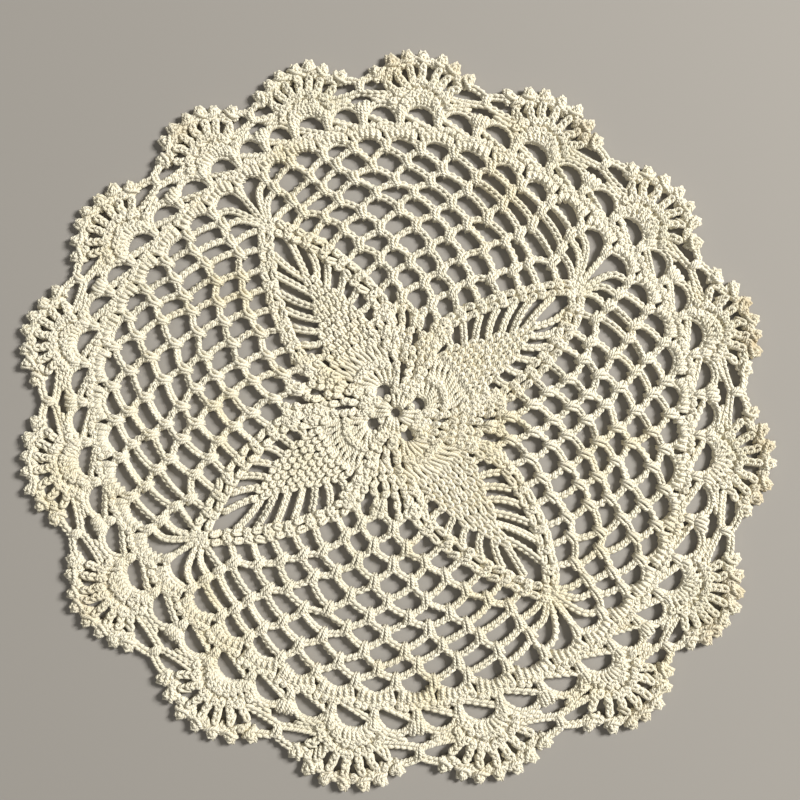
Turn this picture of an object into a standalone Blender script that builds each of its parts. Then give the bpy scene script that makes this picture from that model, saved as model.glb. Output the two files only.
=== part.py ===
"""A round crocheted doily, lying flat: one cotton mat pierced by its larger gaps.

The mat is charted as its maker works it. A point of the chart has a round radius, in
millimetres on an even doily, and a quarter: 0 on the first leaf's axis, 1 on the next
leaf's, and so on round. place() turns it into a point of this doily, whose rounds are
pulled a little wider on some sides than on others.

Four solid leaves grow from the ring. Between them lies a net of chain arches, one arch
more in each round. Round the net come a round of blocks, a round of arches, and sixteen
fans with pointed loops on their edge.
"""
import math

import bmesh
import bpy
import numpy as np

MM = 0.001
THICKNESS = 2.2                 # of the worked cotton
RING_X, RING_Y = -0.85, -0.15   # the ring's place from the middle of the outline's box
QUARTERS = 4
QUARTER_TURN = math.pi / 2
FANS_PER_QUARTER = 4
BORDER_ARCHES = 12              # in a quarter, in the last net round and the arch round

# Rounds, as radii on an even doily
RING_HOLE = 2.1
CHAIN_SPACE = 9.2               # middle of the four spaces that the leaves start from
NET_EDGE = 102.0                # where the last net gaps lie
FAN_CENTRE = 116.5
FAN_EDGE = 139.3
TROUGH = 127.6                  # the edge between two fans

# The net: middle line of each round's arches at their tops. Round 0 is the last
# close round, with one arch between two leaves; each round adds one.
ARCH_TOPS = (34.4, 41.9, 49.2, 56.2, 63.0, 69.3, 75.7, 81.7, 87.4, 93.7, 100.0, 105.6)
LAST_NET_ROUND = len(ARCH_TOPS) - 1
FIRST_GAPS_FROM = 33.0
BORDER_GAP = (111.2, 114.2, 118.0)      # foot, widest place and top

# Thread widths
STITCH_HEIGHT = 3.2             # of the knot that stands on each arch
STITCH_HALF = 1.9
CHAIN_HALF = 1.45

# Gaps: how high their sides stand on the knots, and how wide their flat tops are
SIDE_SHARE = 0.55
ARCH_SHOULDER = 0.5
FIRST_FLAT_ROUND = 9            # the net's inner gaps end in a crest
RING_SIDES = 8
SPACE_ALONG = (-1.4, 0.2, 1.6, 0.2)     # a chain space's corners round its middle
SPACE_ACROSS = (0.0, 2.2, 0.0, -2.2)

# A leaf beside each net round: half its width at the middle of the side band, where
# the chain cords of that round leave the solid on its left and on its right, and where
# they meet the two bands, along and across the axis. The solid leans to the right.
LEAF_COLUMNS = (
    "band", "left_along", "left_across", "right_along", "right_across",
    "end_along", "left_end", "right_end",
)
LEAF_ROWS = (
    (16.5, 25.5, 10.8, 27.5, 11.2, 28.0, 14.0, 14.0),
    (18.1, 31.5, 10.4, 32.5, 11.4, 33.0, 14.6, 15.2),
    (17.8, 36.8, 8.6, 38.5, 10.7, 39.5, 13.9, 15.0),
    (16.3, 40.8, 6.7, 43.8, 9.2, 46.5, 13.1, 14.3),
    (14.4, 45.2, 4.8, 48.9, 7.5, 53.4, 11.8, 12.5),
    (11.9, 49.9, 3.0, 53.9, 5.5, 60.2, 10.2, 10.2),
    (8.7, 54.8, 1.5, 58.6, 3.6, 67.0, 7.9, 7.0),
    (5.2, 60.8, 0.6, 62.6, 1.2, 73.6, 4.4, 3.0),
)
BAND_HALF = 2.6

# A slit between two cords: its point's distance from the solid, its two ends on the
# band as shares of the way between the cords, and how far they stay clear of it
SLIT_POINT = 1.2
SLIT_SHARES = (0.22, 0.78)
SLIT_CLEAR = 0.5
TIP_GAP_COLUMNS = ("along", "across")   # corners of the gap between the last two cords
TIP_GAP = (
    (65.4, 0.3),
    (74.0, 3.0),
    (78.2, 2.0),
    (78.4, -0.4),
    (74.0, -1.2),
)

# A fan: its loops lie on a curve round its own centre
FAN_REACH = FAN_EDGE - FAN_CENTRE
FAN_SPREAD = 55.0               # degrees each side of its axis
FAN_WIDENS = 0.08               # how much further its last loops reach
LOOP_DEPTH = 3.2
SHOULDER = (72.0, 18.5)         # degrees and reach of the edge beside the last loop

# Each fan: its direction, the net edge and the loop tips as measured there, and how
# many pointed loops it has
FAN_COLUMNS = ("degrees", "net_edge", "tip", "loops")
FANS = (
    (37.8, 99.6, 137.2, 7),
    (61.9, 99.4, 135.1, 7),
    (85.4, 100.6, 137.5, 7),
    (106.6, 101.6, 137.4, 7),
    (125.5, 101.5, 138.0, 7),
    (146.8, 103.2, 139.6, 7),
    (167.4, 107.0, 141.8, 7),
    (189.2, 103.7, 139.7, 7),
    (212.7, 99.3, 138.4, 8),
    (237.3, 98.5, 136.7, 7),
    (262.0, 99.0, 138.1, 7),
    (286.1, 99.8, 138.2, 7),
    (309.6, 103.7, 145.1, 7),
    (329.0, 105.6, 145.0, 8),
    (352.0, 101.9, 141.9, 7),
    (374.9, 103.0, 139.7, 7),
)
LEAF_DEGREES = (33.0, 124.0, 212.5, 311.0)
SPACE_DEGREES = (20.0, 119.0, 207.0, 298.0)
SPACES_RULE_TO, LEAVES_RULE_FROM = 10.0, 30.0
LEAVES_RULE_TO, FANS_RULE_FROM = 70.0, 108.0


def table_column(table, columns, name):
    """One named column of a table, as an array."""
    return np.array([row[columns.index(name)] for row in table], float)


def smooth_step(low, high, value):
    """0 below low, 1 above high, and an even S between."""
    part = np.clip((value - low) / (high - low), 0.0, 1.0)
    return part * part * (3.0 - 2.0 * part)


def around(values, position):
    """A value between the entries of a closed ring, on a smooth curve through them."""
    values = np.asarray(values, float)
    start = np.floor(position).astype(int)
    part = position - start
    before, here, after, beyond = (values[(start + step) % len(values)] for step in (-1, 0, 1, 2))
    bend = (2 * before - 5 * here + 4 * after - beyond) * part
    cube = (3 * (here - after) + beyond - before) * part * part
    return here + 0.5 * part * (after - before + bend + cube)


def direction(radius, quarter):
    """The angle of a point of the chart, in radians."""
    quarter = np.asarray(quarter, float)
    quarters = math.degrees(QUARTER_TURN) * np.arange(QUARTERS)
    fans = math.degrees(QUARTER_TURN) / FANS_PER_QUARTER * np.arange(len(FANS))
    space_lead = around(np.array(SPACE_DEGREES) - quarters, quarter)
    leaf_lead = around(np.array(LEAF_DEGREES) - quarters, quarter)
    fan_lead = around(table_column(FANS, FAN_COLUMNS, "degrees") - fans, quarter * FANS_PER_QUARTER)
    lead = space_lead + smooth_step(SPACES_RULE_TO, LEAVES_RULE_FROM, radius) * (leaf_lead - space_lead)
    lead = lead + smooth_step(LEAVES_RULE_TO, FANS_RULE_FROM, radius) * (fan_lead - lead)
    return QUARTER_TURN * quarter + np.radians(lead)


def place(radius, quarter):
    """x and y, in millimetres, of a point given by its round's radius and its quarter."""
    radius = np.asarray(radius, float)
    quarter = np.asarray(quarter, float)
    fan = quarter * FANS_PER_QUARTER
    edge = around(table_column(FANS, FAN_COLUMNS, "net_edge"), fan)
    tip = around(table_column(FANS, FAN_COLUMNS, "tip"), fan)
    inside = radius * edge / NET_EDGE
    outside = edge + (radius - NET_EDGE) * (tip - edge) / (FAN_EDGE - NET_EDGE)
    reach = np.where(radius < NET_EDGE, inside, outside)
    angle = direction(radius, quarter)
    return np.stack([RING_X + reach * np.cos(angle), RING_Y + reach * np.sin(angle)], axis=-1)


def from_axis(axis, along, across):
    """The chart's radius and quarter of a point beside an axis, such as a leaf's."""
    along = np.asarray(along, float)
    across = np.asarray(across, float)
    return np.hypot(along, across), axis + np.arctan2(across, along) / QUARTER_TURN


def leaf_half_quarter(round_number):
    """How far a leaf reaches beside a net round, as a part of a quarter."""
    if round_number >= len(LEAF_ROWS):
        return 0.0
    across = LEAF_ROWS[round_number][LEAF_COLUMNS.index("band")] + BAND_HALF / 2
    return math.asin(across / knot_top(round_number)) / QUARTER_TURN


def knot_top(round_number):
    """The radius at which a round's arches leave their knots."""
    return ARCH_TOPS[max(round_number - 1, 0)] + STITCH_HEIGHT


def net_knots(round_number):
    """Where a net round's knots stand, as parts of a quarter."""
    leaf = leaf_half_quarter(round_number)
    return np.linspace(leaf, 1.0 - leaf, round_number + 2)


def arch_gap(levels, knots, foot_at, crest_at, shoulder):
    """A gap under an arch: pointed at its foot, as wide as the knots allow, and with a
    flat top of the shoulder's share of its width, or a crest where that share is 0.

    levels are the radii of its foot, its sides and its top; the rest are places in the
    quarter.
    """
    foot, side, top = levels
    margin = STITCH_HALF / side / QUARTER_TURN
    left, right = knots[0] + margin, knots[1] - margin
    shoulders = [crest_at + shoulder * (end - crest_at) for end in (right, left)]
    if not shoulder:
        shoulders = [crest_at]
    radii = [foot, side] + [top] * len(shoulders) + [side]
    parts = [min(max(foot_at, left), right), right] + shoulders + [left]
    return np.array(radii), np.array(parts)


def net_gap(round_number, index, quarter):
    """The outline of the gap under one arch of the net."""
    knots = net_knots(round_number)[index:index + 2]
    if round_number == 1:
        foot = FIRST_GAPS_FROM
        foot_at = knots.mean()
    else:
        foot = knot_top(round_number - 1) + CHAIN_HALF
        foot_at = net_knots(round_number - 1)[index]
    if round_number < LAST_NET_ROUND:
        crest_at = net_knots(round_number + 1)[index + 1]
    else:
        crest_at = knots.mean()
    side = ARCH_TOPS[round_number - 1] + SIDE_SHARE * STITCH_HEIGHT
    levels = (foot, side, ARCH_TOPS[round_number] - CHAIN_HALF)
    at_leaf = index in (0, round_number)
    shoulder = 0.0 if at_leaf or round_number < FIRST_FLAT_ROUND else ARCH_SHOULDER
    radii, parts = arch_gap(levels, knots, foot_at, crest_at, shoulder)
    return place(radii, quarter + parts)


def net_gaps():
    """Every gap of the net."""
    return [
        net_gap(round_number, index, quarter)
        for quarter in range(QUARTERS)
        for round_number in range(1, LAST_NET_ROUND + 1)
        for index in range(round_number + 1)
    ]


def border_gaps():
    """The gaps between the block round and the fans."""
    count = QUARTERS * BORDER_ARCHES
    gaps = []
    for index in range(count):
        middle = index / BORDER_ARCHES
        knots = (middle - 0.5 / BORDER_ARCHES, middle + 0.5 / BORDER_ARCHES)
        radii, parts = arch_gap(BORDER_GAP, knots, middle, middle, ARCH_SHOULDER)
        gaps.append(place(radii, parts))
    return gaps


def leaf_slits():
    """The slits between the chain cords on both sides of each leaf, and the gap at its
    tip, between the last two."""
    tip = [table_column(TIP_GAP, TIP_GAP_COLUMNS, name) for name in TIP_GAP_COLUMNS]
    slits = []
    for axis in range(QUARTERS):
        slits.append(place(*from_axis(axis, *tip)))
        for side in (-1, 1):
            for row in range(1, len(LEAF_ROWS) - 1):
                corners = slit(cord_ends(row, side), cord_ends(row + 1, side))
                slits.append(place(*from_axis(axis, corners[:, 0], corners[:, 1])))
    return slits


def cord_ends(row, side):
    """Where a leaf's chain cord starts on the solid and ends at the side band, along and
    across the axis. side is 1 on the left, looking out from the ring, and -1 on the right."""
    cells = dict(zip(LEAF_COLUMNS, LEAF_ROWS[row]))
    name = "left" if side > 0 else "right"
    return np.array([
        [cells[name + "_along"], side * cells[name + "_across"]],
        [cells["end_along"], side * cells[name + "_end"]],
    ])


def slit(cord, next_cord):
    """The three corners of the slit between two cords: its point near the solid, and the
    two ends of its side along the band."""
    start, end = (cord + next_cord) / 2
    out = (end - start) / np.linalg.norm(end - start)
    ends = [cord[1] + share * (next_cord[1] - cord[1]) - SLIT_CLEAR * out for share in SLIT_SHARES]
    return np.array([start + SLIT_POINT * out, *ends])


def centre_gaps():
    """The ring's hole, and the four chain spaces round it."""
    turns = np.arange(RING_SIDES) / RING_SIDES * QUARTERS
    gaps = [place(np.full(RING_SIDES, RING_HOLE), turns)]
    for axis in range(QUARTERS):
        along = CHAIN_SPACE + np.array(SPACE_ALONG)
        gaps.append(place(*from_axis(axis, along, np.array(SPACE_ACROSS))))
    return gaps


def fan_edge(fan):
    """The edge of one fan, from the trough before it to its last side point."""
    loops = FANS[fan][FAN_COLUMNS.index("loops")]
    turns = np.radians(np.linspace(-FAN_SPREAD, FAN_SPREAD, 2 * loops - 1))
    reach = FAN_REACH * (1.0 + FAN_WIDENS * (turns / turns[-1]) ** 2)
    reach[1::2] -= LOOP_DEPTH
    shoulder = math.radians(SHOULDER[0])
    turns = np.concatenate([[-shoulder], turns, [shoulder]])
    reach = np.concatenate([[SHOULDER[1]], reach, [SHOULDER[1]]])
    axis = fan / FANS_PER_QUARTER
    radius, quarter = from_axis(axis, FAN_CENTRE + reach * np.cos(turns), reach * np.sin(turns))
    trough = place([TROUGH], [axis - 0.5 / FANS_PER_QUARTER])
    return np.concatenate([trough, place(radius, quarter)])


def closed_edges(mesh, points):
    """A closed line through the points, on the underside."""
    corners = [mesh.verts.new((x * MM, y * MM, 0.0)) for x, y in points]
    return [mesh.edges.new(pair) for pair in zip(corners, corners[1:] + corners[:1])]


def make_sheet(name, outline, gaps, thickness):
    """A flat sheet of the outline's shape with the gaps through it."""
    shape = bmesh.new()
    edges = closed_edges(shape, outline)
    for gap in gaps:
        edges += closed_edges(shape, gap)
    bmesh.ops.triangle_fill(shape, edges=edges, use_beauty=True, use_dissolve=False)
    grown = bmesh.ops.extrude_face_region(shape, geom=shape.faces[:])
    top = [item for item in grown["geom"] if isinstance(item, bmesh.types.BMVert)]
    bmesh.ops.translate(shape, verts=top, vec=(0.0, 0.0, thickness * MM))
    bmesh.ops.recalc_face_normals(shape, faces=shape.faces[:])
    mesh = bpy.data.meshes.new(name)
    shape.to_mesh(mesh)
    shape.free()
    thing = bpy.data.objects.new(name, mesh)
    bpy.context.scene.collection.objects.link(thing)
    return thing


def cotton():
    """Cream crochet cotton, a little lustrous."""
    material = bpy.data.materials.new("cream_cotton")
    material.use_nodes = True
    shader = material.node_tree.nodes["Principled BSDF"]
    shader.inputs["Base Color"].default_value = (0.80, 0.74, 0.58, 1.0)
    shader.inputs["Roughness"].default_value = 0.75
    shader.inputs["Metallic"].default_value = 0.0
    material.diffuse_color = (0.80, 0.74, 0.58, 1.0)
    return material


def main():
    for thing in list(bpy.data.objects):
        bpy.data.objects.remove(thing, do_unlink=True)
    outline = np.concatenate([fan_edge(fan) for fan in range(len(FANS))])
    gaps = centre_gaps() + leaf_slits() + net_gaps() + border_gaps()
    doily = make_sheet("doily", outline, gaps, THICKNESS)
    doily.data.materials.append(cotton())


main()
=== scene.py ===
"""A round crocheted doily, stitch by stitch, on the flat mat that the frame holds.

The thread is followed as the maker's hook leaves it: chains, knots, long stitches, loops
and points, each a tube of thread carried along its own small path. The chart says where
each one stands. A point of the chart has a round radius, in millimetres on an even doily,
and a quarter: 0 on the first leaf's axis, 1 on the next leaf's, and so on round.
"""
import math

import bpy
import numpy as np
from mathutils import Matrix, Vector


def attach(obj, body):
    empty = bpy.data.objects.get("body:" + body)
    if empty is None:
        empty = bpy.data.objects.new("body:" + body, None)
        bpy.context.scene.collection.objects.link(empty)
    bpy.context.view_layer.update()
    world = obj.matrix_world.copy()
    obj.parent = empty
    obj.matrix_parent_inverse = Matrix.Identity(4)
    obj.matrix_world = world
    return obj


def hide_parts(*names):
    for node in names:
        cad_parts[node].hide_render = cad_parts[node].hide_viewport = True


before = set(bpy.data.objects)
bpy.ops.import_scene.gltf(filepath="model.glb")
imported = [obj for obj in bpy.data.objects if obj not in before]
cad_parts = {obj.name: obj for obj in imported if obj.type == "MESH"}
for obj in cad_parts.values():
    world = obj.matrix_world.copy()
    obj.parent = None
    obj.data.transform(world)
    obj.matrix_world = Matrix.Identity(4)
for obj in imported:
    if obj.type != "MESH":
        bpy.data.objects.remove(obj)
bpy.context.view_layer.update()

# ---------------------------------------------------------------- chart, as in the mat
MM = 0.001
RING_X, RING_Y = -0.85, -0.15   # the ring's place from the middle of the outline's box
QUARTERS = 4
QUARTER_TURN = math.pi / 2
FANS_PER_QUARTER = 4
BORDER_ARCHES = 12
RING_HOLE = 2.1
CHAIN_SPACE = 9.2
NET_EDGE = 102.0
FAN_CENTRE = 116.5
FAN_EDGE = 139.3
ARCH_TOPS = (34.4, 41.9, 49.2, 56.2, 63.0, 69.3, 75.7, 81.7, 87.4, 93.7, 100.0, 105.6)
LAST_NET_ROUND = len(ARCH_TOPS) - 1
STITCH_HEIGHT = 3.2
BAND_HALF = 2.6
LEAF_COLUMNS = (
    "band", "left_along", "left_across", "right_along", "right_across",
    "end_along", "left_end", "right_end",
)
LEAF_ROWS = (
    (16.5, 25.5, 10.8, 27.5, 11.2, 28.0, 14.0, 14.0),
    (18.1, 31.5, 10.4, 32.5, 11.4, 33.0, 14.6, 15.2),
    (17.8, 36.8, 8.6, 38.5, 10.7, 39.5, 13.9, 15.0),
    (16.3, 40.8, 6.7, 43.8, 9.2, 46.5, 13.1, 14.3),
    (14.4, 45.2, 4.8, 48.9, 7.5, 53.4, 11.8, 12.5),
    (11.9, 49.9, 3.0, 53.9, 5.5, 60.2, 10.2, 10.2),
    (8.7, 54.8, 1.5, 58.6, 3.6, 67.0, 7.9, 7.0),
    (5.2, 60.8, 0.6, 62.6, 1.2, 73.6, 4.4, 3.0),
)
LEAF_JOINTS = (81.0, 83.0, 85.5, 83.0)  # where each leaf's two side bands join
FAN_REACH = FAN_EDGE - FAN_CENTRE
FAN_SPREAD = 55.0               # from a fan's axis to its last point, in degrees
FAN_WIDENS = 0.08               # how much further its last points reach
FAN_COLUMNS = ("degrees", "net_edge", "tip", "loops")
FANS = (
    (37.8, 99.6, 137.2, 7),
    (61.9, 99.4, 135.1, 7),
    (85.4, 100.6, 137.5, 7),
    (106.6, 101.6, 137.4, 7),
    (125.5, 101.5, 138.0, 7),
    (146.8, 103.2, 139.6, 7),
    (167.4, 107.0, 141.8, 7),
    (189.2, 103.7, 139.7, 7),
    (212.7, 99.3, 138.4, 8),
    (237.3, 98.5, 136.7, 7),
    (262.0, 99.0, 138.1, 7),
    (286.1, 99.8, 138.2, 7),
    (309.6, 103.7, 145.1, 7),
    (329.0, 105.6, 145.0, 8),
    (352.0, 101.9, 141.9, 7),
    (374.9, 103.0, 139.7, 7),
)
LEAF_DEGREES = (33.0, 124.0, 212.5, 311.0)
SPACE_DEGREES = (20.0, 119.0, 207.0, 298.0)
SPACES_RULE_TO, LEAVES_RULE_FROM = 10.0, 30.0
LEAVES_RULE_TO, FANS_RULE_FROM = 70.0, 108.0

# ---------------------------------------------------------------- thread
THREAD = 1.52                   # thickness of the worked thread
SIDES = 5                       # of the thread's tube
NO_HEADING = np.array([0.31, 0.17, 0.93])    # a direction that no stitch starts in
MIDDLE = 1.60                   # height of the lace's middle over the table
PLIES = 3
LAY = 3.0                       # one full twist of the plies: too fine to show, so drawn longer
LINE_POINTS = 49                # on the line that a chain follows
AHEAD = 2.0                     # how far on a second point is taken, for a stitch's way up

# Stitches, in millimetres: each row is a corner of the thread's path, as its place across
# the stitch, up it and in height. A chain's columns are stitches along it, across and height.
CHAIN_STITCH = (
    (0.00, 0.28, -0.35),
    (0.30, 0.28, 0.65),
    (0.75, 0.66, 0.72),
    (1.25, 0.70, 0.12),
    (1.50, 0.32, -0.35),
    (1.50, -0.32, -0.35),
    (1.25, -0.70, 0.12),
    (0.75, -0.66, 0.72),
    (0.30, -0.28, 0.65),
    (0.00, -0.28, -0.35),
    (0.40, 0.00, -0.45),
)
CHAIN_RINGS = 8                 # of the tube, in one stitch
CHAIN_PITCH = 2.45
CHAIN_START = 0.30              # how much of a stitch is tucked in before the line
CHAIN_ROLL = 0.85               # how far a chain may lie on its side, in radians
KNOT = (
    (-1.50, 2.70, 0.10),
    (-1.15, 1.20, 0.95),
    (-0.65, -0.80, 0.85),
    (-0.35, -1.65, -0.30),
    (-0.10, -0.80, 1.20),
    (-0.25, 1.20, 1.45),
    (0.20, 2.70, 0.90),
    (0.80, 3.10, 0.00),
    (1.45, 2.50, 0.70),
    (1.10, 1.00, 1.10),
    (0.65, -0.70, 0.95),
    (0.25, -1.60, -0.45),
)
KNOT_RINGS = 12
CURL = (
    (-0.30, -2.10, -0.50),
    (-0.78, -1.10, 0.15),
    (-0.86, 0.15, 0.75),
    (-0.52, 1.05, 0.95),
    (0.05, 1.28, 0.95),
    (0.58, 0.95, 0.90),
    (0.86, 0.05, 0.75),
    (0.52, -0.90, 0.80),
    (-0.05, -0.30, 1.20),
    (-0.05, 0.65, 1.00),
    (0.15, -1.30, -0.30),
)
CURL_RINGS = 11
SCALE = (
    (-0.20, -2.20, -0.60),
    (-0.50, -1.20, 0.20),
    (-0.66, -0.20, 0.85),
    (-0.62, 0.60, 1.05),
    (0.05, 1.12, 1.20),
    (0.66, 0.60, 0.90),
    (0.64, -0.20, 0.60),
    (0.66, -1.20, 0.10),
    (0.55, -2.20, -0.60),
)
SCALE_RINGS = 11
SCALE_ROW, SCALE_COLUMN = 2.8, 2.65     # from a scale to the next, along and across a leaf
POINT_FOLD = (                  # the line of the chain that a point is folded from
    (-1.75, -0.60),
    (-1.50, 0.90),
    (-0.80, 2.60),
    (0.05, 4.10),
    (0.80, 2.60),
    (1.50, 0.90),
    (1.70, -0.60),
)
POINT_STITCHES = 4
POINT_WRAP = (
    (-3.10, 1.60, -0.10),
    (-2.30, 0.60, 0.80),
    (-0.90, 0.20, 1.45),
    (0.80, 0.90, 1.60),
    (2.10, 2.10, 1.00),
    (2.90, 2.00, 0.00),
)
POINT_WRAP_RINGS = 8
POST_RINGS = 13
POST_RISE = 0.45                # how high the two runs of a long stitch wind
POST_SINK = 0.5                 # how much lower its foot starts
LIFT = 0.15                     # how much a long stitch lies over the lace's middle

# The ring's long stitches, in each quarter, and the curls on them
RING_STITCHES = 4
RING_HEADS = 8.8
RING_HEADS_FROM, RING_HEADS_OVER = 0.25, 0.50   # the part of a quarter that their heads keep to
CURL_QUARTERS = (0.0, 0.32, 0.46, 0.60, 0.70)
CURL_RADII = (6.0, 8.0, 8.6, 8.0, 8.4)
CURL_UNDER = 0.8                # from a close round's heads down to the curls on them

# The close rounds between two leaves: a row's feet and heads, as radii, and where its long
# stitches stand across the way out between the leaves, clockwise, at their middles
CENTRE_ROWS = (
    (8.4, 13.2, (-3.6, -1.2, 1.3, 3.7)),
    (12.9, 19.0, (-4.4, -0.6, 2.9, 4.9)),
    (18.8, 25.4, (-5.6, -2.0, 0.8, 3.5, 6.0)),
    (25.2, 31.8, (-9.0, -6.4, -3.8, -1.2, 3.1, 5.7, 8.3)),
    (31.0, 39.4, (-8.1, -5.2, 0.2, 2.3, 7.6, 10.0)),
)

# The net
STRAY = 1.3                     # how far the hand lets the net's knots stray, each way
NET_CHAIN_SIZE, NET_KNOT_SIZE = 1.06, 1.12
TUCK = 0.9                      # how deep an arch's foot or a cord's start is worked in
ARCH_SLACK = 0.14
JOINT_SLACK = 0.32              # of the long arches from the joint of a leaf's bands
AXIS_CHAIN_PAST = 0.5           # how far past the net's edge the chain from a joint is worked

# A leaf, along and across its axis
SHELL_STITCHES, SHELL_DEGREES = 9, 66.0
SHELL_FEET_ALONG, SHELL_FEET_ACROSS = 2.5, 2.8
SHELL_REACH, SHELL_DROOP = 9.2, 4.0
RIDGE_STITCHES = 8
RIDGE_ALONG, RIDGE_HALF, RIDGE_BEND, RIDGE_FLARE = 19.2, 6.0, 2.4, 0.4
LEAF_POSTS = 9
LEAF_POST_FEET, LEAF_POST_HEADS, LEAF_POST_BEND = 19.0, 26.8, 2.2
LEAF_FEET_HALF, LEAF_HEADS_HALF = 6.4, 9.2
LEAF_LEAN, SCALE_LEAN = -0.3, 0.1       # to the left
SCALES_FROM, SCALES_TO = 27.2, 62.5
SCALE_INSET = 1.3               # from the solid's edge to the middle of its outermost scales
ROW_BOW, ROW_HALF = 1.4, 11.0   # how much lower a row of scales is this far from the axis
CORD_SIZE = 1.15                # of a leaf's cords, a little wider than a plain chain
CORD_BOW = 0.5
CORD_PAST = 0.7                 # how far into the band a cord's end is worked
BAND_COLUMNS = {1: 1.55, -1: 1.85}      # from a band's middle line to its two columns, by side
BAND_START_ALONG = (19.0, 26.4)         # where a band begins, beside the leaf's shell
BAND_START_ACROSS = (11.0, 14.0)
BAND_END = 1.0                  # how far past the joint, and aside of the axis, a band ends
BAND_FOOT_UNDER, BAND_HEAD_OVER = 0.6, 0.2      # how far a long stitch runs past its round
BAND_CURL_UNDER, BAND_TIE_UNDER = 0.9, 0.3      # to the curls on the heads and between them

# The border's rounds, as radii, and their widths as parts of an arch. A block's outer
# stitches stand lower than its middle ones, and it slants a little.
BLOCK_STITCHES = 6
BLOCK_FEET, BLOCK_CURLS, BLOCK_HEADS = 104.6, 108.6, 109.4
BLOCK_DROP, BLOCK_HEADS_DROP, BLOCK_SLANT = 2.0, 0.6, 0.6
BLOCK_FEET_SHARE, BLOCK_HEADS_SHARE = 0.34, 0.41
BACKING, BACKING_DROP, BACKING_SHARE, BACKING_CHAINS = 107.2, 1.2, 0.8, 5
EDGE_FOOT, EDGE_RISE, EDGE_CURVE, EDGE_CHAINS = 108.0, 6.0, 1.2, 6
PLAIN_ARCH_FOOT, PLAIN_ARCH_CREST, PLAIN_ARCH_SLACK = 112.8, 118.0, 0.30
PLAIN_ARCH_KNOTS = (110.7, 114.6)

# A fan: each row's reach from the fan's centre, and degrees from its axis to the last
# stitch. The feet of its close stitches, on its arch, have a radius instead.
FAN_STITCHES = 11
FAN_FEET, FAN_FEET_BEND, FAN_FEET_HALF = 116.8, 2.1, 5.6
FAN_HEADS, FAN_HEADS_WIDEN, FAN_HEADS_DEGREES = 8.8, 1.4, 84.0
CURL_DEGREES, CURLS_WIDEN = 82.0, 0.15
CURL_ROWS = (                   # reach and number of curls
    (5.2, 8),
    (9.0, 12),
)
LONG_FEET, LONG_FEET_DEGREES = 9.6, 63.0
LONG_HEADS, LONG_HEADS_DEGREES = 15.6, 57.0
LONG_SCALES = (                 # reach and size of the scales on a long stitch
    (10.6, 1.10),
    (12.8, 1.15),
    (15.2, 1.22),
)
LONG_SCALES_DEGREES = 59.0
LOOP_REACH = 17.9               # of the chains between two long stitches
VALLEY_REACH, VALLEY_AHEAD = 17.6, 19.4     # of the curls on those chains, and their way
POINT_HEIGHT = 5.0              # from a point's foot to its tip
POINT_FILLED, POINT_WRAPPED = 1.5, -0.4     # where its scale and its wrap are, from its foot

# Between two fans: chains that run from a fan's side to the crossing, by their start's
# reach and degrees, their end's radius and part of a quarter aside, their bow and size
LINK_COLUMNS = ("reach", "degrees", "end", "aside", "bow", "size")
LINKS = (
    (12.0, 68.8, 123.0, 0.0, 0.4, 1.25),
    (20.0, 57.6, 126.2, 0.0, -0.6, 1.25),
    (9.6, 81.6, 120.4, 0.026, 0.3, 1.15),
)
LINK_KNOTS = (115.4, 115.2, 123.8)
LINK_KNOTS_ASIDE = (-0.007, 0.007, 0.0)


def table_column(table, columns, name):
    """One named column of a table, as an array."""
    return np.array([row[columns.index(name)] for row in table], float)


def smooth_step(low, high, value):
    """0 below low, 1 above high, and an even S between: 3 p^2 - 2 p^3 of the part p gone."""
    part = np.clip((value - low) / (high - low), 0.0, 1.0)
    return part * part * (3.0 - 2.0 * part)


def between(before, here, after, beyond, part):
    """A point between here and after on the Catmull-Rom cubic: a cubic through both, with
    half the chord of each one's neighbours as its slope."""
    bend = (2 * before - 5 * here + 4 * after - beyond) * part
    cube = (3 * (here - after) + beyond - before) * part * part
    return here + 0.5 * part * (after - before + bend + cube)


def around(values, position):
    """A value between the entries of a closed ring, on a smooth curve through them."""
    values = np.asarray(values, float)
    start = np.floor(position).astype(int)
    part = position - start
    return between(*(values[(start + step) % len(values)] for step in (-1, 0, 1, 2)), part)


def direction(radius, quarter):
    """The angle of a point of the chart, in radians: its even angle plus a lead, which
    passes from the chain spaces' to the leaves' and then to the fans' going outwards."""
    quarter = np.asarray(quarter, float)
    quarters = math.degrees(QUARTER_TURN) * np.arange(QUARTERS)
    fans = math.degrees(QUARTER_TURN) / FANS_PER_QUARTER * np.arange(len(FANS))
    space_lead = around(np.array(SPACE_DEGREES) - quarters, quarter)
    leaf_lead = around(np.array(LEAF_DEGREES) - quarters, quarter)
    fan_lead = around(table_column(FANS, FAN_COLUMNS, "degrees") - fans, quarter * FANS_PER_QUARTER)
    lead = space_lead + smooth_step(SPACES_RULE_TO, LEAVES_RULE_FROM, radius) * (leaf_lead - space_lead)
    lead = lead + smooth_step(LEAVES_RULE_TO, FANS_RULE_FROM, radius) * (fan_lead - lead)
    return QUARTER_TURN * quarter + np.radians(lead)


def place(radius, quarter):
    """x and y, in millimetres, of a point given by its round's radius and its quarter: the
    radius is stretched by the net edge's measured size there, and past it by the fan's."""
    radius = np.asarray(radius, float)
    quarter = np.asarray(quarter, float)
    fan = quarter * FANS_PER_QUARTER
    edge = around(table_column(FANS, FAN_COLUMNS, "net_edge"), fan)
    tip = around(table_column(FANS, FAN_COLUMNS, "tip"), fan)
    inside = radius * edge / NET_EDGE
    outside = edge + (radius - NET_EDGE) * (tip - edge) / (FAN_EDGE - NET_EDGE)
    reach = np.where(radius < NET_EDGE, inside, outside)
    angle = direction(radius, quarter)
    return np.stack([RING_X + reach * np.cos(angle), RING_Y + reach * np.sin(angle)], axis=-1)


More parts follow.
